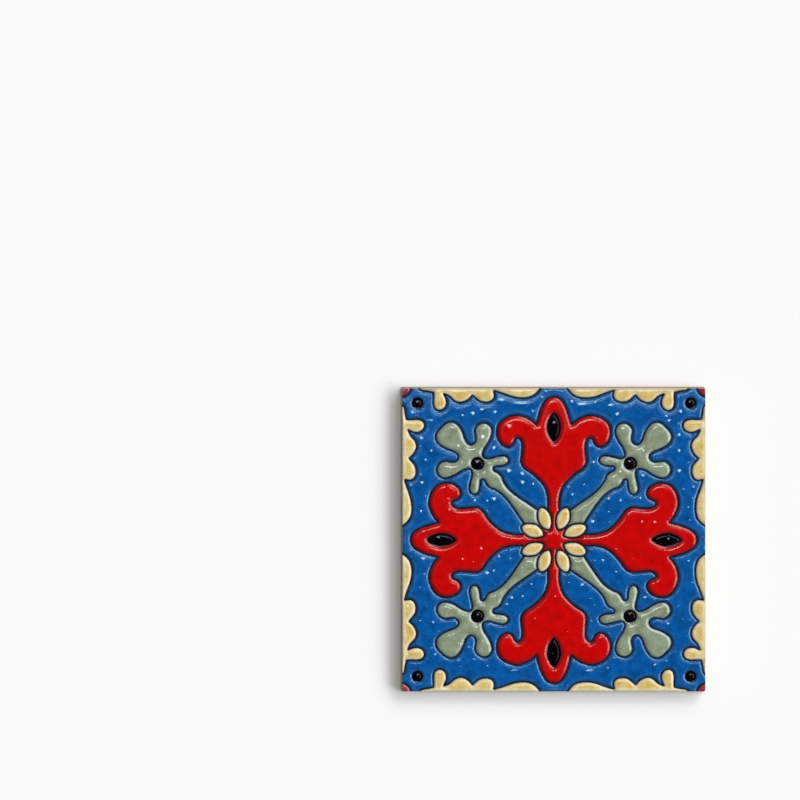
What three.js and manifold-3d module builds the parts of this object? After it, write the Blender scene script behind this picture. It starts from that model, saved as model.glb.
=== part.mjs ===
// A square hand-painted ceramic tile. Dark lines are sunk between raised fields of glaze.
// Millimetres, +Z up. The origin is the centre of the back, and the painted face looks up.
import * as THREE from 'three';
import { mergeVertices } from 'three/addons/utils/BufferGeometryUtils.js';
import Module from 'manifold-3d';

const wasm = await Module();
wasm.setup();

// Slab
const tileSide = 150;
const tileThickness = 8.7;
const arrisRadius = 0.6;
const cornerRadius = 0.7;
const arrisFacets = 3;

// Painted lines
const lineWidth = 1.0;
const lineDepth = 0.9;

// The pattern's points are millimetres from the centre of a tile of this side
const patternSide = 151;

// Largest turn, in degrees, that one straight facet of an outline stands for
const facetTurn = 38;

// How far cutting solids run past the surface that they cut
const overrun = 2;

// Right half of one tulip of the red cross, from its tip to its stem
const tulipTip = [[0, 70.7], [2.2, 70.2], [4.2, 68.6], [6.2, 65.1], [7.4, 61.5], [8.6, 57.0]];
const tulipSide = [
  [8.6, 57.0], [12.4, 59.9], [17.9, 61.6], [23.2, 60.4], [26.8, 57.6], [28.2, 53.8], [27.7, 50.0],
  [25.6, 46.9], [22.6, 45.8], [20.3, 47.1], [19.1, 49.5], [17.8, 50.3], [16.2, 49.0], [15.6, 46.2],
  [15.9, 42.0], [16.1, 38.2], [14.3, 35.2], [10.6, 32.6], [6.6, 28.9], [4.4, 25.8], [3.3, 22.6],
  [2.8, 19.2], [2.9, 15.2],
];
const crossInnerCorner = 6.0;

// Upper half of a sprig, from the petals to the tip of its big lobe on the diagonal
const sprigInnerCorner = 6.8;
const sprigStem = [
  [6.5, 14.2], [9.0, 15.4], [12.5, 17.8], [16.7, 20.6], [20.8, 23.8], [23.4, 26.6], [25.0, 29.2],
  [26.0, 31.7], [27.7, 33.3],
];
const sprigLobes = [
  [27.7, 33.3], [29.4, 34.1], [29.9, 35.2], [29.2, 36.2], [27.0, 36.4], [24.7, 36.8], [22.9, 37.8],
  [22.3, 39.3], [23.2, 40.9], [25.2, 41.6], [28.3, 41.1], [32.0, 40.2], [34.4, 40.6], [35.1, 42.2],
  [34.2, 45.2], [32.0, 48.6], [30.6, 52.0], [30.6, 54.9], [32.2, 57.0], [35.0, 57.7], [37.6, 56.4],
  [38.9, 53.9], [38.5, 50.9], [38.6, 48.7], [40.1, 47.2], [42.0, 47.3], [43.6, 49.3], [44.8, 52.6],
  [46.2, 55.3], [48.3, 57.5], [51.0, 58.2], [53.5, 57.3], [55.5, 55.5],
];

// Right half-leaf of an edge's border, from the middle of the edge to the tile's corner
const leafLongLobe = [
  [5.2, 77.0], [6.7, 74.6], [8.4, 72.4], [10.5, 70.8], [13.8, 69.9], [17.6, 69.9], [21.0, 70.6],
  [25.2, 72.1], [29.6, 73.5],
];
const leafScallop = [[29.6, 73.5], [29.3, 70.7], [30.6, 68.7], [33.4, 67.8], [36.8, 68.5], [40.2, 71.3]];
const leafInnerScallop = [[40.2, 71.3], [42.4, 69.0], [45.8, 67.6], [48.8, 68.3], [51.4, 70.6], [54.2, 71.9]];
const leafFinger = [
  [54.2, 71.9], [53.0, 69.2], [52.9, 66.8], [54.0, 64.6], [56.4, 63.6], [58.6, 64.7], [59.4, 67.2],
  [59.3, 70.2], [59.4, 72.6],
];
const leafTaper = [[59.4, 72.6], [62.5, 73.2], [65.6, 73.9], [68.2, 77.0]];

// Right side of the almond-shaped eye of a tulip
const eyeSide = [[0, 62.5], [1.4, 60.9], [2.5, 58.4], [3.0, 55.9], [2.6, 53.0], [1.6, 50.6], [0, 48.3]];

// A petal, once round from its inner tip
const petal = [
  [2.0, 4.9], [1.3, 6.6], [1.0, 9.2], [1.6, 12.3], [3.4, 14.8], [5.3, 15.9], [7.0, 15.7], [8.0, 13.6],
  [8.0, 11.1], [7.4, 8.5], [5.8, 6.4], [4.0, 5.2], [2.0, 4.9],
];

// Dots and corner quarters
const sprigDot = { centre: [37.6, 37.6], radius: 2.9 };
const cornerDot = { centre: [67.3, 67.3], radius: 2.4 };
const cornerQuarterRadius = 5.1;

// Points along a smooth run, closer together where it turns
function facetRun(run) {
  const curve = new THREE.SplineCurve(run.map(([x, y]) => new THREE.Vector2(x, y)));
  const spans = run.length - 1;
  const points = [curve.getPoint(0)];
  for (let span = 0; span < spans; span++) {
    const arriving = curve.getTangent(span / spans);
    const leaving = curve.getTangent((span + 1) / spans);
    const turn = THREE.MathUtils.radToDeg(arriving.angleTo(leaving));
    const steps = Math.max(1, Math.ceil(turn / facetTurn));
    for (let step = 1; step <= steps; step++) points.push(curve.getPoint((span + step / steps) / spans));
  }
  return points;
}

function facetCircle({ centre, radius }) {
  const curve = new THREE.EllipseCurve(...centre, radius, radius);
  return curve.getPoints(Math.ceil(360 / facetTurn) + 2).slice(0, -1);
}

const mirrorX = (points) => points.map((point) => new THREE.Vector2(-point.x, point.y)).reverse();
const mirrorDiagonal = (points) => points.map((point) => new THREE.Vector2(point.y, point.x)).reverse();
const origin = new THREE.Vector2();

// The four quarter turns of an outline about the tile's centre
function quarterTurns(points) {
  return [0, 1, 2, 3].map((quarter) =>
    points.map((point) => point.clone().rotateAround(origin, -quarter * Math.PI / 2)));
}

// The eight copies of an outline: its four turns and those of its mirror image
function eightCopies(points) {
  return [...quarterTurns(points), ...quarterTurns(mirrorX(points))];
}

// One closed cross: four tulips whose stems meet under the petals
function crossOutline() {
  const half = [...facetRun(tulipTip), ...facetRun(tulipSide).slice(1)];
  const corner = new THREE.Vector2(crossInnerCorner, crossInnerCorner);
  const quarter = [...half, corner, ...mirrorDiagonal(half).slice(0, -1)];
  return quarterTurns(quarter).flat();
}

function sprigOutline() {
  const half = [...facetRun(sprigStem), ...facetRun(sprigLobes).slice(1)];
  const corner = new THREE.Vector2(sprigInnerCorner, sprigInnerCorner);
  return [corner, ...half, ...mirrorDiagonal(half).slice(1)];
}

function leafOutline() {
  const runs = [leafLongLobe, leafScallop, leafInnerScallop, leafFinger, leafTaper];
  return runs.flatMap((run, place) => facetRun(run).slice(place ? 1 : 0));
}

function eyeOutline() {
  const side = facetRun(eyeSide);
  return [...side, ...mirrorX(side).slice(1, -1)];
}

function cornerOutline() {
  return facetCircle({ centre: [patternSide / 2, patternSide / 2], radius: cornerQuarterRadius });
}

// The pattern in layers: a later layer covers what lies under it
const layers = [
  quarterTurns(sprigOutline()),
  [crossOutline()],
  eightCopies(facetRun(petal).slice(0, -1)),
  [eyeOutline(), facetCircle(sprigDot), facetCircle(cornerDot)].flatMap(quarterTurns),
  eightCopies(leafOutline()),
  quarterTurns(cornerOutline()),
];

// Moves a closed outline sideways: outwards by a positive distance, inwards by a negative one
function offsetOutline(outline, distance) {
  const points = THREE.ShapeUtils.isClockWise(outline) ? [...outline].reverse() : outline;
  const sharpest = 0.5;
  return points.map((point, place) => {
    const before = points.at(place - 1);
    const after = points[(place + 1) % points.length];
    const arriving = point.clone().sub(before).normalize();
    const leaving = after.clone().sub(point).normalize();
    const outward = new THREE.Vector2(arriving.y + leaving.y, -arriving.x - leaving.x).normalize();
    const narrowing = Math.max(outward.x * arriving.y - outward.y * arriving.x, sharpest);
    return point.clone().addScaledVector(outward, distance / narrowing);
  });
}

// A closed geometry as a solid that can be joined and cut
function solidOf(geometry) {
  const bare = geometry.index ? geometry.toNonIndexed() : geometry.clone();
  bare.deleteAttribute('normal');
  bare.deleteAttribute('uv');
  const merged = mergeVertices(bare);
  return new wasm.Manifold(new wasm.Mesh({
    numProp: 3,
    vertProperties: new Float32Array(merged.attributes.position.array),
    triVerts: new Uint32Array(merged.index.array),
  }));
}

function geometryOf(solid) {
  const mesh = solid.getMesh();
  const geometry = new THREE.BufferGeometry();
  geometry.setAttribute('position', new THREE.BufferAttribute(mesh.vertProperties, 3));
  geometry.setIndex(new THREE.BufferAttribute(mesh.triVerts, 1));
  geometry.computeVertexNormals();
  return geometry;
}

// Upright prisms on the outlines, all from one height to another, as one solid
function prisms(outlines, sideways, bottom, top) {
  const scale = tileSide / patternSide;
  const solids = outlines.map((outline) => {
    const scaled = outline.map((point) => point.clone().multiplyScalar(scale));
    const shape = new THREE.Shape(offsetOutline(scaled, sideways));
    const geometry = new THREE.ExtrudeGeometry(shape, { depth: top - bottom, bevelEnabled: false });
    return solidOf(geometry.translate(0, 0, bottom));
  });
  return solids.reduce((whole, solid) => whole.add(solid));
}

// The grooves of the painted lines, layer over layer
function lineGrooves() {
  const bottom = tileThickness - lineDepth;
  const top = tileThickness + overrun;
  let grooves = null;
  for (const outlines of layers) {
    const outer = prisms(outlines, lineWidth / 2, bottom, top);
    const inner = prisms(outlines, -lineWidth / 2, bottom - overrun, top + overrun);
    grooves = (grooves ? grooves.add(outer) : outer).subtract(inner);
  }
  return grooves;
}

// A square slab with rounded corners and its edges rounded at the face and at the back
function slab() {
  const half = tileSide / 2 - arrisRadius;
  const shape = new THREE.Shape();
  for (let corner = 0; corner < 4; corner++) {
    const start = corner * Math.PI / 2;
    const centre = new THREE.Vector2(half - cornerRadius, half - cornerRadius).rotateAround(origin, start);
    shape.absarc(centre.x, centre.y, cornerRadius, start, start + Math.PI / 2, false);
  }
  const geometry = new THREE.ExtrudeGeometry(shape, {
    depth: tileThickness - 2 * arrisRadius,
    bevelThickness: arrisRadius,
    bevelSize: arrisRadius,
    bevelSegments: arrisFacets,
    curveSegments: arrisFacets,
  });
  return solidOf(geometry.translate(0, 0, arrisRadius));
}

function tile() {
  const glazedCeramic = new THREE.MeshStandardMaterial({ color: '#0c56a6', roughness: 0.15, metalness: 0 });
  const mesh = new THREE.Mesh(geometryOf(slab().subtract(lineGrooves())), glazedCeramic);
  mesh.name = 'tile';
  return mesh;
}

const group = new THREE.Group();
group.add(tile());

export default group;
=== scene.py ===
"""A hand-painted relief tile: pools of glossy glaze stand between sunk dark lines.

The tile lies face up, with the centre of its back at the origin. Sizes are in millimetres, and become
metres where the mesh is made.
"""
import math
import random

import bpy
import numpy as np
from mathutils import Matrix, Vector, geometry, kdtree, noise


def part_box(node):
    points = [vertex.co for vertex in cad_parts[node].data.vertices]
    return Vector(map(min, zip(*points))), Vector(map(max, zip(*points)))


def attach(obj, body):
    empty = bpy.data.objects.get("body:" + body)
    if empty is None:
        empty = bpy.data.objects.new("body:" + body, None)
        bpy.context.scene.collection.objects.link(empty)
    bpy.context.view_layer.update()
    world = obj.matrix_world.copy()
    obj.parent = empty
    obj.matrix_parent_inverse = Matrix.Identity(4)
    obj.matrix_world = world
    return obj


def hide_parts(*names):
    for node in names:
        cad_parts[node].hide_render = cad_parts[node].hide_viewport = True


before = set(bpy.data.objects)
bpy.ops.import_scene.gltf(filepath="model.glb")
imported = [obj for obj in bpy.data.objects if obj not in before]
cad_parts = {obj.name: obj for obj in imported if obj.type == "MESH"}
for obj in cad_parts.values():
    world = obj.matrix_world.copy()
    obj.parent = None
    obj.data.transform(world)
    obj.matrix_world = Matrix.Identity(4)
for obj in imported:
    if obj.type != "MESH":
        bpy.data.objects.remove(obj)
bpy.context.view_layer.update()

MM = 0.001

# Slab. Its sides splay a little from the face down to the back, and glaze runs over their upper part.
TILE_LOW, TILE_HIGH = (Vector(corner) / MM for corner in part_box("tile"))
TILE_SIDE = TILE_HIGH.x - TILE_LOW.x
TILE_TOP = TILE_HIGH.z
SIDE_SPLAY = 0.8
FACE_HALF = TILE_SIDE / 2 - SIDE_SPLAY
ARRIS_RADIUS = 0.3
CORNER_RADIUS = 0.7
FLAT_HALF = FACE_HALF - ARRIS_RADIUS - CORNER_RADIUS
ARRIS_ANGLES = (0, 30, 60, 90)
GLAZED_SIDE, GLAZED_SPLAY = 1.3, 0.2
BACK_ARRIS, BACK_SHOULDER = 0.4, 0.3

# Painted lines
LINE_WIDTH = 0.95
LINE_DEPTH = 0.9
LINE_LEVEL = TILE_TOP - LINE_DEPTH
# The bulb's line swells and narrows by this share, in waves of this length, and at this level of the noise
LINE_WIDTH_SWING, LINE_SWING_LENGTH, LINE_SWING_LEVEL = 0.16, 6, 3.7

# The pattern's points are millimetres from the centre of a tile of this side
PATTERN_SIDE = 151

TULIP_TIP = [(0, 70.7), (2.2, 70.2), (4.2, 68.6), (6.2, 65.1), (7.4, 61.5), (8.6, 57.0)]
TULIP_SIDE = [
    (8.6, 57.0), (12.4, 59.9), (17.9, 61.6), (23.2, 60.4), (26.8, 57.6), (28.2, 53.8), (27.7, 50.0),
    (25.6, 46.9), (22.6, 45.8), (20.3, 47.1), (19.1, 49.5), (17.8, 50.3), (16.2, 49.0), (15.6, 46.2),
    (15.9, 42.0), (16.1, 38.2), (14.3, 35.2), (10.6, 32.6), (6.6, 28.9), (4.4, 25.8), (3.3, 22.6),
    (2.8, 19.2), (2.9, 15.2),
]
CROSS_INNER_CORNER = 6.0
SPRIG_INNER_CORNER = 6.8
SPRIG_STEM = [
    (6.5, 14.2), (9.0, 15.4), (12.5, 17.8), (16.7, 20.6), (20.8, 23.8), (23.4, 26.6), (25.0, 29.2),
    (26.0, 31.7), (27.7, 33.3),
]
SPRIG_LOBES = [
    (27.7, 33.3), (29.4, 34.1), (29.9, 35.2), (29.2, 36.2), (27.0, 36.4), (24.7, 36.8), (22.9, 37.8),
    (22.3, 39.3), (23.2, 40.9), (25.2, 41.6), (28.3, 41.1), (32.0, 40.2), (34.4, 40.6), (35.1, 42.2),
    (34.2, 45.2), (32.0, 48.6), (30.6, 52.0), (30.6, 54.9), (32.2, 57.0), (35.0, 57.7), (37.6, 56.4),
    (38.9, 53.9), (38.5, 50.9), (38.6, 48.7), (40.1, 47.2), (42.0, 47.3), (43.6, 49.3), (44.8, 52.6),
    (46.2, 55.3), (48.3, 57.5), (51.0, 58.2), (53.5, 57.3), (55.5, 55.5),
]
LEAF_RUNS = [
    [(5.2, 77.0), (6.7, 74.6), (8.4, 72.4), (10.5, 70.8), (13.8, 69.9), (17.6, 69.9), (21.0, 70.6),
     (25.2, 72.1), (29.6, 73.5)],
    [(29.6, 73.5), (29.3, 70.7), (30.6, 68.7), (33.4, 67.8), (36.8, 68.5), (40.2, 71.3)],
    [(40.2, 71.3), (42.4, 69.0), (45.8, 67.6), (48.8, 68.3), (51.4, 70.6), (54.2, 71.9)],
    [(54.2, 71.9), (53.0, 69.2), (52.9, 66.8), (54.0, 64.6), (56.4, 63.6), (58.6, 64.7), (59.4, 67.2),
     (59.3, 70.2), (59.4, 72.6)],
    [(59.4, 72.6), (62.5, 73.2), (65.6, 73.9), (68.2, 77.0)],
]
EYE_SIDE = [(0, 62.5), (1.4, 60.9), (2.5, 58.4), (3.0, 55.9), (2.6, 53.0), (1.6, 50.6), (0, 48.3)]
PETAL = [
    (2.0, 4.9), (1.3, 6.6), (1.0, 9.2), (1.6, 12.3), (3.4, 14.8), (5.3, 15.9), (7.0, 15.7), (8.0, 13.6),
    (8.0, 11.1), (7.4, 8.5), (5.8, 6.4), (4.0, 5.2), (2.0, 4.9),
]
SPRIG_DOT_CENTRE, SPRIG_DOT_RADIUS = (37.6, 37.6), 2.9
CORNER_DOT_CENTRE, CORNER_DOT_RADIUS = (67.3, 67.3), 2.4
CORNER_QUARTER_RADIUS = 5.1

# A painting hand wanders: the length of its waves, and how far they reach to either side
WANDER = ((19.0, 0.18), (5.5, 0.08))
# Every draw of chance starts from this, so that each run gives the same tile
SEED = 11

# Spacing of the mesh: of an outline as drawn, of points along a line, of the rings beside it, in the open
FINE_STEP = 0.1
LINE_STEP = 0.7
RINGS = (0.0, 0.2, 0.45, 0.75, 1.05, 1.4, 1.9, 2.5)
OPEN_STEP = 1.3
# Points crowd together where a line turns
TURN_CROWDING = 12
# On a ring they stand further apart the further it lies from its line, in shares of LINE_STEP
RING_APART, RING_APART_GROWTH = 0.4, 0.25
# Neighbours on a line's middle and edges are joined up to this distance, to keep its border crisp
LINE_JOIN = 1.9 * LINE_STEP
# A ring's point is dropped where it comes this much nearer to a line than its ring should
RING_SLACK = 0.03
# Rows stop this far short of the arris
ARRIS_CLEARANCE = 0.05
# Round the tile's border, points are fine within this reach of a line and coarse elsewhere
BORDER_FINE, BORDER_COARSE, BORDER_FINE_REACH = 0.22, 0.6, 1.2
BORDER_END = 0.2
BORDER_JOIN = 1.5
CORNER_TURN = 15
# Points this near to each other are one
SAME_POINT = 1e-4

# How high each glaze climbs from the line, how far in its rim rolls, and how high it domes further in
POOLS = {
    "cobalt": (0.44, 1.0, 0.14), "red": (0.68, 1.6, 0.06), "sage": (0.76, 1.9, 0.06),
    "honey": (0.52, 1.4, 0.06), "crimson": (0.50, 1.3, 0.06), "black": (0.40, 0.4, 0.05),
}
ROLL_POWER = 1.6
DOME_REACH, DOME_POWER = 3.5, 1.5
# The whole face waves a little, but not at a line. Finer waves of half the height lie over the long ones.
WAVE_HEIGHT, WAVE_LENGTH, WAVE_FINER = 0.03, 7.0, 2.3
WAVE_START = 1.5

# Low round pimples stand where grit or a bubble lies under the melt. One place in each square of this side
# may have one, and the share that does depends on the glaze.
PIMPLE_APART = 6.0
PIMPLE_PLACES = (0.2, 0.8)
PIMPLE_RADII = (1.0, 2.1)
PIMPLE_SMALLEST = 0.6
PIMPLE_CLEARANCE = 0.1
PIMPLE_STEEPNESS = 0.07
PIMPLE_SHARE = {"cobalt": 0.85, "red": 0.18, "sage": 0.6, "honey": 0.4, "crimson": 1.0, "black": 0.0}
# The rings that draw a pimple: their reach in shares of its radius, and their points
PIMPLE_RINGS = ((0.35, 8), (0.65, 12), (0.9, 14), (1.2, 14))
# The open mesh keeps clear of a pimple out to this share of its radius
PIMPLE_KEPT_FREE = 1.5
# Long ones lie in the blue where the bulb ran along the border, as their middles and half sizes
TRAILS = [(-16, 66.5, 3.6, 1.3), (14.5, 66, 3.0, 1.2), (-19.5, -64.5, 3.4, 1.2), (18, -64.5, 3.2, 1.2),
          (-61, 58, 2.6, 1.1), (60, -55.5, 2.2, 1.1), (-26, 68, 2.4, 1.1), (28.5, 65.5, 2.2, 1.1)]
TRAIL_CLEARANCE = 2
# Each black field stands up in a low peak where the bulb let go of it
BLACK_PEAKS = [(37.2, 37.6), (66.8, 67.0), (0.3, 56.5)]
BLACK_PEAK_RADIUS = 1.5

# Towards the arris the melt thins and darkens as it does towards a line, and this share of the distance counts
ARRIS_THINNING = 0.8

# Faces that meet at more than this many degrees keep a crisp edge
CRISP_ANGLE = 40


def smooth_run(run):
    """The smooth curve through a run of points, in steps of FINE_STEP."""
    points = [Vector(point) for point in run]
    last = len(points) - 1
    drawn = []
    for i in range(last):
        before, a, b, after = points[max(i - 1, 0)], points[i], points[i + 1], points[min(i + 2, last)]
        leave, arrive = (b - before) / 2, (after - a) / 2
        steps = max(2, math.ceil((b - a).length / FINE_STEP))
        for t in (step / steps for step in range(steps)):
            bend = (3 * (b - a) - 2 * leave - arrive) * t ** 2 + (2 * (a - b) + leave + arrive) * t ** 3
            drawn.append(a + leave * t + bend)
    return np.array([tuple(point) for point in drawn + [points[last]]])


def circle(centre, radius):
    turn = np.linspace(0, 2 * np.pi, 240, endpoint=False)
    return np.column_stack((centre[0] + radius * np.cos(turn), centre[1] + radius * np.sin(turn)))


def mirror_x(points):
    return (points * (-1, 1))[::-1]


def mirror_diagonal(points):
    return points[::-1, ::-1]


def quarter_turns(points):
    x, y = points.T
    return [np.column_stack(pair) for pair in ((x, y), (y, -x), (-x, -y), (-y, x))]


def eight_copies(points):
    return quarter_turns(points) + quarter_turns(mirror_x(points))


def cross_outline():
    half = np.vstack((smooth_run(TULIP_TIP), smooth_run(TULIP_SIDE)[1:]))
    quarter = np.vstack((half, [[CROSS_INNER_CORNER] * 2], mirror_diagonal(half)[:-1]))
    return np.vstack(quarter_turns(quarter))


def sprig_outline():
    half = np.vstack((smooth_run(SPRIG_STEM), smooth_run(SPRIG_LOBES)[1:]))
    return np.vstack(([[SPRIG_INNER_CORNER] * 2], half, mirror_diagonal(half)[1:]))


def leaf_outline():
    return np.vstack([smooth_run(LEAF_RUNS[0])] + [smooth_run(run)[1:] for run in LEAF_RUNS[1:]])


def eye_outline():
    side = smooth_run(EYE_SIDE)
    return np.vstack((side, mirror_x(side)[1:-1]))


def wander(points):
    """Moves an outline's points a little, as a hand does. Neighbours move together."""
    moved = np.array(points, float)
    for length, reach in WANDER:
        for point in moved:
            drift = noise.noise_vector((point[0] / length, point[1] / length, length))
            point += reach * np.array(drift)[:2]
    return moved


def even_steps(outline, step):
    """A closed outline's points again, one step apart, with its sharp corners eased."""
    closed = np.vstack((outline, outline[:1]))
    along = np.concatenate(([0], np.cumsum(np.hypot(*np.diff(closed, axis=0).T))))
    wanted = np.linspace(0, along[-1], round(along[-1] / step), endpoint=False)
    points = np.column_stack([np.interp(wanted, along, closed[:, axis]) for axis in (0, 1)])
    for _ in range(4):
        points = (np.roll(points, 1, 0) + 2 * points + np.roll(points, -1, 0)) / 4
    return points


def inside(points, outline):
    """Which points lie inside a closed outline."""
    within = np.zeros(len(points), bool)
    near = np.flatnonzero(((points >= outline.min(0)) & (points <= outline.max(0))).all(1))
    x, y = points[near].T
    crossed = np.zeros(len(near), bool)
    for (ax, ay), (bx, by) in zip(outline, np.roll(outline, -1, 0)):
        if ay != by:
            crossed ^= ((ay > y) != (by > y)) & (x < ax + (y - ay) * (bx - ax) / (by - ay))
    within[near] = crossed
    return within


def drawn_layers():
    """Every field as (its glaze, its outline), in layers. A later layer covers an earlier one."""
    corner = circle((PATTERN_SIDE / 2,) * 2, CORNER_QUARTER_RADIUS)
    sprig_dot = circle(SPRIG_DOT_CENTRE, SPRIG_DOT_RADIUS)
    corner_dot = circle(CORNER_DOT_CENTRE, CORNER_DOT_RADIUS)
    black = [turned for drawn in (eye_outline(), sprig_dot, corner_dot) for turned in quarter_turns(drawn)]
    layers = [
        [("sage", quarter_turns(sprig_outline()))],
        [("red", [cross_outline()])],
        [("honey", eight_copies(smooth_run(PETAL)[:-1]))],
        [("black", black)],
        [("honey", eight_copies(leaf_outline()))],
        [("crimson", quarter_turns(corner))],
    ]
    scale = TILE_SIDE / PATTERN_SIDE
    noise.seed_set(SEED)
    return [[(glaze, even_steps(wander(outline * scale), FINE_STEP))
             for glaze, outlines in layer for outline in outlines] for layer in layers]


def beyond_flat(points):
    """How far points lie past the flat of the face, on the rounded arris. On the flat it is below zero."""
    reach = np.abs(points) - FLAT_HALF
    return np.hypot(*np.maximum(reach, 0).T) + np.minimum(reach.max(1), 0) - CORNER_RADIUS


def line_half_width(x, y):
    swing = noise.noise((x / LINE_SWING_LENGTH, y / LINE_SWING_LENGTH, LINE_SWING_LEVEL))
    return LINE_WIDTH / 2 * (1 + LINE_WIDTH_SWING * swing)


class PaintedLines:
    """The lines that show, and how far any point lies from their edges. A stroke is an outline, with which
    of its points show. Every fifth point of a cover's outline is enough to tell."""

    def __init__(self, layers):
        self.strokes = []
        self.round_black = []
        drawn = []
        for depth, layer in enumerate(layers):
            covers = [outline for later in layers[depth + 1:] for _, outline in later]
            for glaze, outline in layer:
                shows = beyond_flat(outline) < ARRIS_RADIUS
                for cover in covers:
                    shows &= ~inside(outline, cover[::5])
                self.strokes.append((outline, shows))
                drawn.extend(outline[shows])
                self.round_black.extend([glaze == "black"] * shows.sum())
        self.tree = kdtree.KDTree(len(drawn))
        for i, (x, y) in enumerate(drawn):
            self.tree.insert((x, y, 0), i)
        self.tree.balance()

    def beside(self, points):
        """Distance of each point from the nearest line's edge. Within a line it is below zero."""
        return np.array([away - line_half_width(middle.x, middle.y)
                         for middle, _, away in self.nearest(points)])

    def beside_black(self, points):
        """Whether the line nearest to each point goes round a black field."""
        return np.array([self.round_black[index] for _, index, _ in self.nearest(points)])

    def nearest(self, points):
        return [self.tree.find((x, y, 0)) for x, y in points]


class Sheet:
    """Points and edges of the face in plan, gathered for one triangulation."""

    def __init__(self):
        self.points = []
        self.edges = []

    def add_row(self, points, longest):
        """Adds a row of points and joins neighbours that are no further apart than longest."""
        start, count = len(self.points), len(points)
        self.points.extend(Vector(point) for point in points)
        for i in range(count):
            if math.dist(points[i], points[i - 1]) < longest:
                self.edges.append((start + (i - 1) % count, start + i))


def seeds_along(outline, shows):
    """Places for points along a line, closer together where it turns."""
    step = np.roll(outline, -1, 0) - outline
    following = np.roll(step, -1, 0)
    turn = np.abs(following[:, 0] * step[:, 1] - following[:, 1] * step[:, 0]) / FINE_STEP ** 2
    walked = np.cumsum(FINE_STEP * (1 + TURN_CROWDING * turn)) // LINE_STEP
    seeds = np.flatnonzero(np.diff(walked, prepend=-1) > 0)
    return seeds[shows[seeds]]


def add_line_rows(sheet, lines):
    """Rows along every line: its middle, its two edges and the glaze rims on both sides."""
    for outline, shows in lines.strokes:
        seeds = seeds_along(outline, shows)
        tangent = np.roll(outline, -3, 0) - np.roll(outline, 3, 0)
        sideways = (tangent[:, ::-1] * (1, -1) / np.hypot(*tangent.T)[:, None])[seeds]
        half_widths = np.array([line_half_width(x, y) for x, y in outline[seeds]])
        for ring, side in [(0, 0)] + [(ring, side) for ring in RINGS for side in (-1, 1)]:
            row = outline[seeds] + sideways * (side * (half_widths + ring))[:, None]
            row = row[beyond_flat(row) < -ARRIS_CLEARANCE]
            if side and len(row):
                row = row[lines.beside(row) > ring - RING_SLACK]
            apart = LINE_STEP * (RING_APART + RING_APART_GROWTH * ring)
            kept = []
            for point in row:
                if not kept or math.dist(point, kept[-1]) > apart:
                    kept.append(point)
            if len(kept) > 1 and math.dist(kept[0], kept[-1]) < apart:
                kept.pop()
            sheet.add_row(kept, 0 if ring else LINE_JOIN)


def add_open_points(sheet, lines, pimples):
    """A honeycomb of points where neither a line nor a pimple is near."""
    half = TILE_SIDE / 2
    rows = np.arange(-half, half, OPEN_STEP * math.sqrt(3) / 2)
    comb = np.array([(x + j % 2 * OPEN_STEP / 2, y) for j, y in enumerate(rows)
                     for x in np.arange(-half, half, OPEN_STEP)])
    comb = comb[beyond_flat(comb) < -OPEN_STEP / 2]
    for pimple in pimples:
        comb = comb[within_pimple(comb, pimple, PIMPLE_KEPT_FREE) == 0]
    sheet.add_row(comb[lines.beside(comb) > RINGS[-1] + OPEN_STEP / 2], 0)


def add_border_rows(sheet, lines):
    """Rows round the tile over the arris, with points closer together beside a line."""
    places = [-FLAT_HALF]
    while places[-1] < FLAT_HALF:
        beside = lines.beside([(places[-1], FACE_HALF - ARRIS_RADIUS)])[0]
        places.append(places[-1] + (BORDER_FINE if abs(beside) < BORDER_FINE_REACH else BORDER_COARSE))
    straight = np.array([-x for x in places[:-1] if x < FLAT_HALF - BORDER_END])
    turns = np.radians(np.arange(0, 90, CORNER_TURN))
    for angle in ARRIS_ANGLES:
        radius = CORNER_RADIUS + ARRIS_RADIUS * math.sin(math.radians(angle))
        edge = np.column_stack((straight, np.full(len(straight), FLAT_HALF + radius)))
        corner = np.column_stack((-FLAT_HALF - radius * np.sin(turns), FLAT_HALF + radius * np.cos(turns)))
        x, y = np.vstack((edge, corner)).T
        ring = np.vstack([np.column_stack(pair) for pair in ((x, y), (-y, x), (-x, -y), (y, -x))])
        sheet.add_row(ring, BORDER_JOIN)


def glaze_swell(x, y):
    """The slow waves of melted glaze."""
    at = Vector((x, y, 0)) / WAVE_LENGTH
    elsewhere = Vector((5, 1, 2))
    return WAVE_HEIGHT * (noise.noise(at) + 0.5 * noise.noise(at * WAVE_FINER + elsewhere))


def face_height(x, y, beside, glaze):
    if beside <= 0:
        return LINE_LEVEL
    height, roll, rise = POOLS[glaze]
    rim = height * (1 - (1 - min(1, beside / roll)) ** ROLL_POWER)
    dome = rise * (1 - math.exp(-(beside / DOME_REACH) ** DOME_POWER))
    return LINE_LEVEL + rim + dome + glaze_swell(x, y) * min(1, beside / WAVE_START)


def scatter_pimples(lines, layers):
    """Pimples as (x, y, half width, half height), clear of the painted lines and of the tile's edge."""
    dice = random.Random(SEED)
    squares = np.arange(-FLAT_HALF, FLAT_HALF, PIMPLE_APART)
    spots = np.array([(x + dice.uniform(*PIMPLE_PLACES) * PIMPLE_APART,
                       y + dice.uniform(*PIMPLE_PLACES) * PIMPLE_APART) for x in squares for y in squares])
    peaks = [tuple(spot) for turned in quarter_turns(np.array(BLACK_PEAKS)) for spot in turned]
    pimples = TRAILS + [(x, y, BLACK_PEAK_RADIUS, BLACK_PEAK_RADIUS) for x, y in peaks]
    room = np.minimum(lines.beside(spots), -beyond_flat(spots)) - PIMPLE_CLEARANCE
    for (x, y), free, name in zip(spots, room, glaze_of_fields(spots, layers)):
        radius = min(dice.uniform(*PIMPLE_RADII), free / PIMPLE_RINGS[-1][0])
        if dice.random() < PIMPLE_SHARE[name] and radius > PIMPLE_SMALLEST and not near_trail(x, y):
            pimples.append((x, y, radius, radius))
    return pimples


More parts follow.
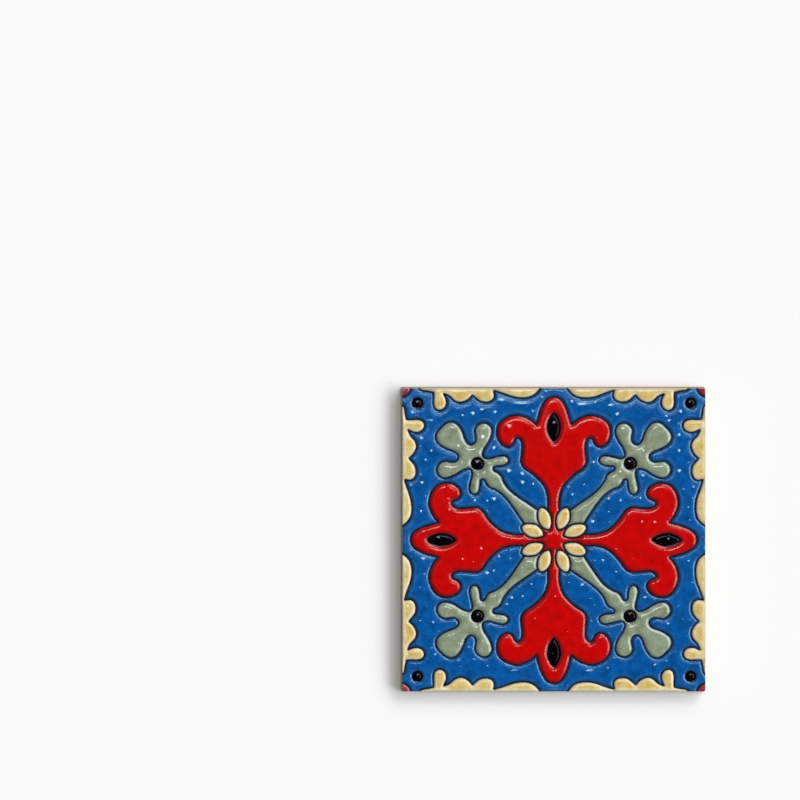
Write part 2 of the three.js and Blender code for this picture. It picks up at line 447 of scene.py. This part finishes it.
def near_trail(x, y):
    return any(abs(x - across) < wide + TRAIL_CLEARANCE and abs(y - up) < high + TRAIL_CLEARANCE
               for across, up, wide, high in TRAILS)


def add_pimple_points(sheet, pimples):
    for x, y, wide, high in pimples:
        sheet.add_row([(x, y)], 0)
        for reach, count in PIMPLE_RINGS:
            turn = np.linspace(0, 2 * np.pi, count, endpoint=False) + reach
            ring = np.column_stack((x + reach * wide * np.cos(turn), y + reach * high * np.sin(turn)))
            sheet.add_row(ring, 0)


def within_pimple(points, pimple, reach=1.0):
    """How deep points lie within a pimple: 1 in its middle, 0 at its edge and beyond."""
    x, y, wide, high = pimple
    return np.maximum(0, 1 - (((points - (x, y)) / (wide * reach, high * reach)) ** 2).sum(1))


def over_arris(height, beyond):
    """A height of the face, lowered where the face rounds over the tile's edge."""
    if beyond <= 0:
        return height
    sine = min(1, beyond / ARRIS_RADIUS)
    level = math.sqrt(1 - sine ** 2)
    return LINE_LEVEL + (height - LINE_LEVEL) * level - ARRIS_RADIUS * (1 - level)


def glaze_of_fields(points, layers):
    """The glaze on each point: that of the last layer that covers it. A third of an outline's points will do."""
    glaze = np.full(len(points), "cobalt", dtype="<U16")
    for layer in layers:
        for name, outline in layer:
            glaze[inside(points, outline[::3])] = name
    return glaze


def heights_of(points, beside, beyond, layers, pimples):
    fields = glaze_of_fields(points, layers)
    heights = np.array([over_arris(face_height(x, y, gap, name), past)
                        for (x, y), gap, past, name in zip(points, beside, beyond, fields)])
    for pimple in pimples:
        heights += PIMPLE_STEEPNESS * pimple[3] * within_pimple(points, pimple)
    return heights


def paint_fields(mesh, centres, lines, layers, glazes):
    """Gives each face its glaze, or the skin of the line that it lies in. Black covers its own line."""
    fields = glaze_of_fields(centres, layers)
    line_skins = np.where(lines.beside_black(centres), "black", np.char.add(fields, "_line"))
    fields = np.where(lines.beside(centres) < 0, line_skins, fields)
    order = list(glazes)
    for material in glazes.values():
        mesh.materials.append(material)
    mesh.polygons.foreach_set("material_index", [order.index(name) for name in fields])


def glazed_face(layers, glazes):
    """The face as a mesh object, open below. Its attribute rim holds each point's distance from the line,
    for the glazes to read."""
    lines = PaintedLines(layers)
    sheet = Sheet()
    pimples = scatter_pimples(lines, layers)
    add_line_rows(sheet, lines)
    add_pimple_points(sheet, pimples)
    add_open_points(sheet, lines, pimples)
    add_border_rows(sheet, lines)
    plan, _, faces, *_ = geometry.delaunay_2d_cdt(sheet.points, sheet.edges, [], 1, SAME_POINT)
    points = np.array([tuple(point) for point in plan])
    beside, beyond = lines.beside(points), beyond_flat(points)
    heights = heights_of(points, beside, beyond, layers, pimples)
    mesh = bpy.data.meshes.new("glazed_tile")
    mesh.from_pydata([(x * MM, y * MM, z * MM) for (x, y), z in zip(points, heights)], [], faces)
    centres = np.array([points[list(face)].mean(0) for face in faces])
    paint_fields(mesh, centres, lines, layers, glazes)
    rim = mesh.attributes.new("rim", "FLOAT", "POINT")
    to_edge = (ARRIS_RADIUS - beyond) * ARRIS_THINNING
    rim.data.foreach_set("value", np.minimum(np.maximum(beside, 0), np.maximum(to_edge, 0)))
    tile = bpy.data.objects.new("glazed_tile", mesh)
    bpy.context.collection.objects.link(tile)
    return tile


def select_open_edge():
    bpy.ops.mesh.select_mode(type="EDGE")
    bpy.ops.mesh.select_all(action="DESELECT")
    bpy.ops.mesh.select_non_manifold(extend=False)


def mark_line_edges(tile):
    """Makes the border between line and glaze a crisp edge."""
    bpy.ops.mesh.select_mode(type="FACE")
    bpy.ops.mesh.select_all(action="DESELECT")
    for place, material in enumerate(tile.data.materials):
        if "resist_line" in material.name:
            tile.active_material_index = place
            bpy.ops.object.material_slot_select()
    bpy.ops.mesh.region_to_loop()
    bpy.ops.mesh.mark_sharp()


def close_slab(tile, biscuit):
    """Draws the face's border down into the sides, eases the edge of the back and closes it."""
    bpy.ops.object.select_all(action="DESELECT")
    bpy.context.view_layer.objects.active = tile
    tile.select_set(True)
    bpy.ops.object.mode_set(mode="EDIT")
    side_top = LINE_LEVEL - ARRIS_RADIUS
    glazed_half = FACE_HALF + SIDE_SPLAY * GLAZED_SPLAY
    back_half = TILE_SIDE / 2
    shallow = BACK_ARRIS * BACK_SHOULDER
    steep = BACK_ARRIS - shallow
    drops = (GLAZED_SIDE, side_top - GLAZED_SIDE - BACK_ARRIS, steep, shallow)
    halves = (FACE_HALF, glazed_half, back_half, back_half - shallow, back_half - BACK_ARRIS)
    for drop, before, after in zip(drops, halves, halves[1:]):
        select_open_edge()
        spread = after / before
        bpy.ops.mesh.extrude_region_move(TRANSFORM_OT_translate={"value": (0, 0, -drop * MM)})
        bpy.ops.transform.resize(value=(spread, spread, 1), center_override=(0, 0, 0))
    select_open_edge()
    bpy.ops.mesh.edge_face_add()
    bpy.ops.mesh.select_all(action="SELECT")
    bpy.ops.mesh.normals_make_consistent(inside=False)
    mark_line_edges(tile)
    bpy.ops.object.mode_set(mode="OBJECT")
    tile.data.materials.append(biscuit)
    bare = len(tile.data.materials) - 1
    bare_below = (side_top - GLAZED_SIDE) * MM
    for face in tile.data.polygons:
        if face.center.z < bare_below:
            face.material_index = bare
    bpy.ops.object.shade_smooth_by_angle(angle=math.radians(CRISP_ANGLE))


def linear(hex_colour):
    """An sRGB hex colour as linear RGBA."""
    parts = [int(hex_colour[i:i + 2], 16) / 255 for i in (0, 2, 4)]
    return [part / 12.92 if part <= 0.04045 else ((part + 0.055) / 1.055) ** 2.4 for part in parts] + [1]


def add_node(tree, kind, inputs=None, stops=(), **settings):
    """Adds a node with its settings and links. An input is a value or another node's output."""
    node = tree.nodes.new(kind)
    for name, value in settings.items():
        setattr(node, name, value)
    for name, value in (inputs or {}).items():
        if isinstance(value, bpy.types.NodeSocket):
            tree.links.new(value, node.inputs[name])
        else:
            node.inputs[name].default_value = value
    for position, _ in stops[2:]:
        node.color_ramp.elements.new(position)
    for place, (position, colour) in enumerate(stops):
        node.color_ramp.elements[place].position = position
        node.color_ramp.elements[place].color = colour
    return node


def new_material(name):
    material = bpy.data.materials.new(name)
    material.use_nodes = True
    material.node_tree.nodes.clear()
    return material, material.node_tree


def pattern_scale(size):
    """The scale of a noise whose marks are this many millimetres across."""
    return 1 / (size * MM)


# Coloured earthenware glazes are trailed on as a wet paste and melt into glassy pools. Each is darkened where it
# touches the line, partly by the line's stain and partly as painted shade at the sunk line, thin beside it, deep
# in colour further in, and faintly clouded by pigment that settled unevenly.
CLOUD_SIZE = 4.0
# Grains of pigment, 0.3 mm in life, are drawn coarser so that they show
GRAIN_SIZE = 0.769
GRAIN_SHARE = 0.6
# The wet paste shrinks back from the line's grease in beads of a good millimetre
BEAD_SIZE = 1.333
BEAD_REACH = (1.6, 0.3)
BEAD_HEIGHT = 0.1
# The line's manganese bleeds into the melt, and the same dark also stands as painted shade beside the sunk line
MANGANESE_AND_SHADE = "060F1C"
# Smoke from the burning grease dulls the skin beside the line
DULL_REACH = (2.8, 1.2)
POLISHED = 0.07
SMOKED = 0.2
# Lead glaze bends light more than window glass does
GLAZE_IOR = 1.6


def glaze(name, deep, cloud, thin, thin_width, stain_and_shade, stain_and_shade_width, sheen, clouding=0.6, beading=BEAD_HEIGHT,
          dull=SMOKED):
    """A melted glaze with its colours deep in the pool, in its clouds and where it lies thin. Stain is how dark
    it grows beside the line, partly the line's colour bled in and partly painted shade, sheen tints what it
    reflects, and dull is its roughness beside the line."""
    material, tree = new_material(name)
    place = add_node(tree, "ShaderNodeTexCoord").outputs["Object"]
    rim = add_node(tree, "ShaderNodeAttribute", attribute_name="rim").outputs["Fac"]
    clouds = add_node(tree, "ShaderNodeTexNoise", {
        "Vector": place, "Scale": pattern_scale(CLOUD_SIZE), "Detail": 3}).outputs["Fac"]
    grains = add_node(tree, "ShaderNodeTexNoise", {
        "Vector": place, "Scale": pattern_scale(GRAIN_SIZE), "Detail": 2}).outputs["Fac"]
    mottle = add_node(tree, "ShaderNodeMath", {
        0: grains, 1: GRAIN_SHARE, 2: clouds}, operation="MULTIPLY_ADD").outputs[0]
    mottled = add_node(tree, "ShaderNodeMapRange", {
        "Value": mottle, "From Min": 0.6, "From Max": 1.05, "To Max": clouding}).outputs["Result"]
    body = add_node(tree, "ShaderNodeMix", {
        "Factor": mottled, 6: linear(deep), 7: linear(cloud)}, data_type="RGBA").outputs[2]
    # The border of the thin melt wavers with the clouds, by up to 0.8 mm to either side
    uneven = add_node(tree, "ShaderNodeMath", {
        0: clouds, 1: 1.6, 2: -0.8}, operation="MULTIPLY_ADD").outputs[0]
    inward = add_node(tree, "ShaderNodeMath", {0: rim, 1: uneven}, operation="ADD").outputs[0]
    thinness = add_node(tree, "ShaderNodeMapRange", {
        "Value": inward, "From Min": thin_width, "From Max": 0.0},
        interpolation_type="SMOOTHSTEP").outputs["Result"]
    thinned = add_node(tree, "ShaderNodeMix", {
        "Factor": thinness, 6: body, 7: linear(thin)}, data_type="RGBA").outputs[2]
    # Darkens the glaze towards the line: partly the line's own stain, partly painted shade at the sunk line's
    # walls
    bleed_and_shade = add_node(tree, "ShaderNodeMapRange", {
        "Value": rim, "From Min": stain_and_shade_width, "From Max": 0.0, "To Max": stain_and_shade},
        interpolation_type="SMOOTHSTEP").outputs["Result"]
    colour = add_node(tree, "ShaderNodeMix", {
        "Factor": bleed_and_shade, 6: thinned, 7: linear(MANGANESE_AND_SHADE)}, data_type="RGBA").outputs[2]
    lumps = add_node(tree, "ShaderNodeTexNoise", {
        "Vector": place, "Scale": pattern_scale(BEAD_SIZE), "Detail": 0}).outputs["Fac"]
    near = add_node(tree, "ShaderNodeMapRange", {
        "Value": rim, "From Min": BEAD_REACH[0], "From Max": BEAD_REACH[1]}).outputs["Result"]
    beads = add_node(tree, "ShaderNodeMath", {0: lumps, 1: near}, operation="MULTIPLY").outputs[0]
    rippled = add_node(tree, "ShaderNodeBump", {
        "Height": beads, "Strength": 1.0, "Distance": beading * MM}).outputs[0]
    dulled = add_node(tree, "ShaderNodeMapRange", {
        "Value": rim, "From Min": DULL_REACH[0], "From Max": DULL_REACH[1], "To Min": POLISHED,
        "To Max": dull}).outputs["Result"]
    shader = add_node(tree, "ShaderNodeBsdfPrincipled", {
        "Base Color": colour, "Roughness": dulled, "IOR": GLAZE_IOR, "Specular Tint": linear(sheen),
        "Normal": rippled})
    add_node(tree, "ShaderNodeOutputMaterial", {"Surface": shader.outputs[0]})
    return material


def resist_line(name, tinge):
    """Grease and manganese line that keeps the glazes apart. It fires to a dull, dark skin, and takes up a
    tinge of the glaze beside it in blots 2 mm wide."""
    material, tree = new_material(f"{name}_resist_line")
    place = add_node(tree, "ShaderNodeTexCoord").outputs["Object"]
    blots = add_node(tree, "ShaderNodeTexNoise", {
        "Vector": place, "Scale": pattern_scale(2), "Detail": 3}).outputs["Fac"]
    colour = add_node(tree, "ShaderNodeValToRGB", {"Fac": blots},
                      stops=((0.3, linear("020407")), (0.6, linear(tinge)))).outputs["Color"]
    crust = add_node(tree, "ShaderNodeBump", {
        "Height": blots, "Strength": 0.4, "Distance": 0.05 * MM}).outputs["Normal"]
    shader = add_node(tree, "ShaderNodeBsdfPrincipled", {
        "Base Color": colour, "Roughness": 0.6, "IOR": 1.5, "Specular IOR Level": 0.06, "Normal": crust})
    add_node(tree, "ShaderNodeOutputMaterial", {"Surface": shader.outputs[0]})
    return material


def tan_biscuit_and_shade():
    """Bare fired clay, pressed dry: chalky, matt and tan, painted darker than the clay itself as shade on the
    tile's sides. Its grain, under 0.3 mm in life, is drawn twice as coarse so that it shows."""
    material, tree = new_material("tan_biscuit_and_shade")
    place = add_node(tree, "ShaderNodeTexCoord").outputs["Object"]
    grain = add_node(tree, "ShaderNodeTexNoise", {
        "Vector": place, "Scale": pattern_scale(0.625), "Detail": 4}).outputs["Fac"]
    # A darker tan than the bare clay's own, as painted shade on the sides
    colour = add_node(tree, "ShaderNodeValToRGB", {"Fac": grain}, stops=(
        (0.3, linear("87714B")), (0.5, linear("988058")), (0.7, linear("A89068")))).outputs["Color"]
    pores = add_node(tree, "ShaderNodeBump", {
        "Height": grain, "Strength": 0.5, "Distance": 0.1 * MM}).outputs["Normal"]
    shader = add_node(tree, "ShaderNodeBsdfPrincipled", {
        "Base Color": colour, "Roughness": 0.85, "Normal": pores})
    add_node(tree, "ShaderNodeOutputMaterial", {"Surface": shader.outputs[0]})
    return material


def glazes_by_field():
    # Each glaze's stain beside the line is partly real bleed and partly painted shade
    return {
        # Cobalt oxide gives the ground a strong, clear blue, patchy where the pigment gathered
        "cobalt": glaze("cobalt_blue_glaze", deep="0A5DA8", cloud="023A72", thin="1E64A0", thin_width=1.8,
                        stain_and_shade=0.40, stain_and_shade_width=1.6, sheen="D0F4FF", clouding=0.8),
        # Selenium red is opaque, so it hardly pales where it is thin
        "red": glaze("selenium_red_glaze", deep="D10707", cloud="B20406", thin="CC0A10", thin_width=0.8,
                     stain_and_shade=0.5, stain_and_shade_width=2.4, sheen="FFC8C0", clouding=0.9),
        # Copper in a milky tin glaze, with pale rims and soft brownish clouds
        "sage": glaze("sage_green_glaze", deep="92A188", cloud="7A8060", thin="ACB5A6", thin_width=1.4,
                      stain_and_shade=0.55, stain_and_shade_width=1.2, sheen="FFFFFF", clouding=1.0),
        # Iron yellow runs: ochre where it pools, cream where it has drained from the rim
        "honey": glaze("honey_yellow_glaze", deep="DCC688", cloud="C8A444", thin="E6D9B8", thin_width=1.9,
                       stain_and_shade=0.45, stain_and_shade_width=0.9, sheen="D8CCB8", clouding=1.0),
        # The same red laid thin over the ground, cooler and duller
        "crimson": glaze("crimson_glaze", deep="B23446", cloud="8A2434", thin="B84A58", thin_width=0.8,
                         stain_and_shade=0.5, stain_and_shade_width=2.0, sheen="FFE0E0"),
        # Manganese black in drops that swallow their own line and stay smooth to the edge
        "black": glaze("black_glaze", deep="04030A", cloud="010102", thin="04030A", thin_width=0.3,
                       stain_and_shade=0.0, stain_and_shade_width=1.0, sheen="A0A0A0", beading=0.0, dull=POLISHED),
        "cobalt_line": resist_line("cobalt", "022A58"),
        "red_line": resist_line("red", "30060A"),
        "sage_line": resist_line("sage", "022C3E"),
        "honey_line": resist_line("honey", "362604"),
        "crimson_line": resist_line("crimson", "30060A"),
    }


def place_floor():
    bpy.ops.object.select_all(action="DESELECT")
    bpy.ops.mesh.primitive_plane_add(size=4, location=(0, 0, 0))
    floor = bpy.context.object
    floor.name = "floor"
    # Uncoated white paper on a roll: matt, and a little warm
    material, tree = new_material("white_paper")
    shader = add_node(tree, "ShaderNodeBsdfPrincipled", {
        "Base Color": linear("F6F4F1"), "Roughness": 0.9, "Specular IOR Level": 0.1})
    add_node(tree, "ShaderNodeOutputMaterial", {"Surface": shader.outputs[0]})
    floor.data.materials.append(material)


def add_window(name, across, up, wide, radiance, colour):
    """An even round light, far off. Its place is in degrees from the zenith, to the right and up in the
    photograph."""
    tilt = math.hypot(across, up)
    sine = math.sin(math.radians(tilt)) / tilt
    towards = Vector((across * sine, up * sine, math.cos(math.radians(tilt))))
    bpy.ops.object.light_add(type="SUN", rotation=towards.to_track_quat("Z", "Y").to_euler())
    light = bpy.context.object
    light.name = name
    light.data.color = colour
    light.data.angle = math.radians(wide)
    light.data.energy = radiance * math.pi * math.sin(math.radians(wide / 2)) ** 2
    return light


def light_studio():
    # One long softbox on the right, drawn as three round lights side by side
    softbox_tilt, softbox_wide, softbox_radiance, softbox_white = 50, 28, 5.9, (0.96, 1.0, 1.05)
    for number, azimuth in enumerate((-12, 24, 60)):
        across = softbox_tilt * math.cos(math.radians(azimuth))
        up = softbox_tilt * math.sin(math.radians(azimuth))
        add_window(f"softbox_{number}", across, up, softbox_wide, softbox_radiance, softbox_white)
    # A small ceiling lamp, which shows as a glint on every pimple
    add_window("ceiling_lamp", across=2.0, up=9.5, wide=11.0, radiance=13, colour=(1, 1, 1))
    # A wide fill from the photograph's lower edge, through crossed polarisers, so that nothing reflects it
    fill = add_window("fill", across=3, up=-28, wide=140, radiance=0.187, colour=(0.98, 1, 0.98))
    fill.visible_glossy = False


def light_walls():
    """The room round the tile. Above the camera it is dark, so that level glaze shows its own colour, and it
    is lighter towards the photograph's upper right than towards its lower left."""
    world = bpy.data.worlds.new("studio")
    world.use_nodes = True
    tree = world.node_tree
    tree.nodes.clear()
    outward = add_node(tree, "ShaderNodeTexCoord").outputs["Generated"]
    towards = add_node(tree, "ShaderNodeSeparateXYZ", {0: outward})
    walls = add_node(tree, "ShaderNodeValToRGB", {"Fac": towards.outputs["Z"]},
                     stops=((0.0, grey(0.2)), (0.5, grey(0.25)), (0.9, grey(0.03))))
    diagonal = add_node(tree, "ShaderNodeMath", {
        0: towards.outputs["X"], 1: towards.outputs["Y"]}, operation="ADD").outputs[0]
    brightness = add_node(tree, "ShaderNodeMapRange", {
        "Value": diagonal, "From Min": -1.4, "From Max": 1.4, "To Min": 0.1, "To Max": 1.8}).outputs["Result"]
    background = add_node(tree, "ShaderNodeBackground", {
        "Color": walls.outputs["Color"], "Strength": brightness}).outputs[0]
    add_node(tree, "ShaderNodeOutputWorld", {"Surface": background})
    bpy.context.scene.world = world


def grey(level):
    return (level, level, level, 1)


def set_camera():
    """Looks straight down from above the photograph's middle, so the tile lies to the lower right."""
    sensor, frame_px = 36.0, 800
    camera_height, px_per_mm = 1200.0, 2.0445
    tile_centre_px = (554.0, 540.0)
    across, up = ((frame_px / 2 - px) / px_per_mm for px in tile_centre_px)
    bpy.ops.object.camera_add(location=(across * MM, -up * MM, camera_height * MM), rotation=(0, 0, 0))
    camera = bpy.context.object
    camera.data.sensor_width = sensor
    camera.data.lens = sensor * (camera_height - TILE_TOP) * px_per_mm / frame_px
    bpy.context.scene.camera = camera
    bpy.context.scene.view_settings.view_transform = "Standard"


set_camera()
light_studio()
light_walls()
place_floor()
tile = glazed_face(drawn_layers(), glazes_by_field())
close_slab(tile, tan_biscuit_and_shade())
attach(tile, "root")
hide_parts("tile")
